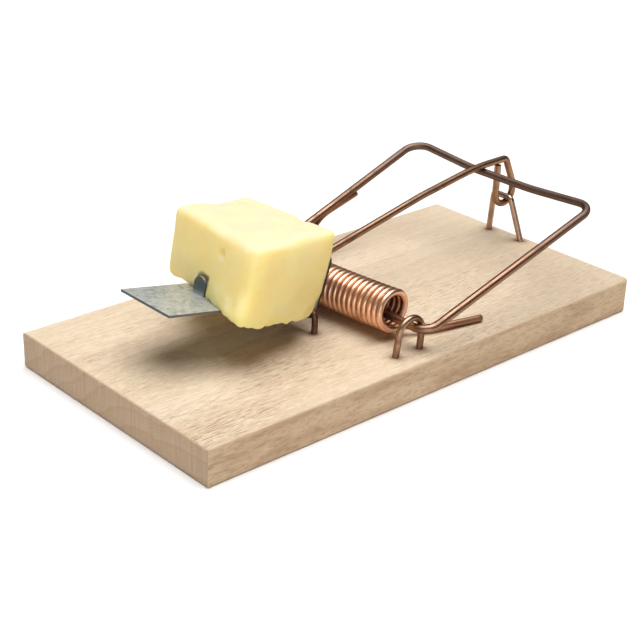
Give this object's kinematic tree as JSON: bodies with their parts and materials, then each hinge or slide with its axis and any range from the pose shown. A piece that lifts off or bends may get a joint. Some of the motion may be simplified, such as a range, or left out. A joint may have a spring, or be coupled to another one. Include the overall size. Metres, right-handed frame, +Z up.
{
  "type": "snap mouse trap",
  "caption": "Set snap trap: wooden board with a sprung wire bow, coil spring, sheet-metal bait pedal with a lump of cheese, and a hinged holding rod.",
  "frame": {"origin": "centre of the board's underside", "axes": "+X along the board from the end that the bow strikes to the end where the holding rod is hinged, +Y across the board, +Z up"},
  "size_m": [0.1, 0.05, 0.0272],
  "materials": {
    "beech": "planed, unfinished",
    "coppered_wire": "copper-washed steel, satin",
    "coppered_spring": "copper-washed steel, bright",
    "galvanised_sheet": "zinc spangle, dull",
    "cheese": "waxy, matt"
  },
  "bodies": {
    "base": {"base_board": "beech", "near_axle_staple": "coppered_wire", "far_axle_staple": "coppered_wire", "pedal_staple": "coppered_wire", "rod_stand": "coppered_wire", "torsion_spring": "coppered_spring"},
    "striker": {"striker_bow": "coppered_wire"},
    "pedal": {"bait_pedal": "galvanised_sheet", "cheese_bait": "cheese"},
    "rod": {"holding_rod": "coppered_wire"}
  },
  "joints": [
    {"name": "bow_swing", "type": "hinge", "parent": "base", "child": "striker", "pos_m": [-0.0032, 0, 0.01045], "axis": [0, -1, 0], "range_deg": [0, 167], "deforming": ["torsion_spring"]},
    {"name": "pedal_tilt", "type": "hinge", "parent": "base", "child": "pedal", "pos_m": [-0.012, 0, 0.01], "axis": [0, -1, 0], "range_deg": [0, 17]},
    {"name": "rod_flip", "type": "hinge", "parent": "base", "child": "rod", "pos_m": [0.04698, 0, 0.01488], "axis": [0, 1, 0], "range_deg": [0, 175]}
  ]
}
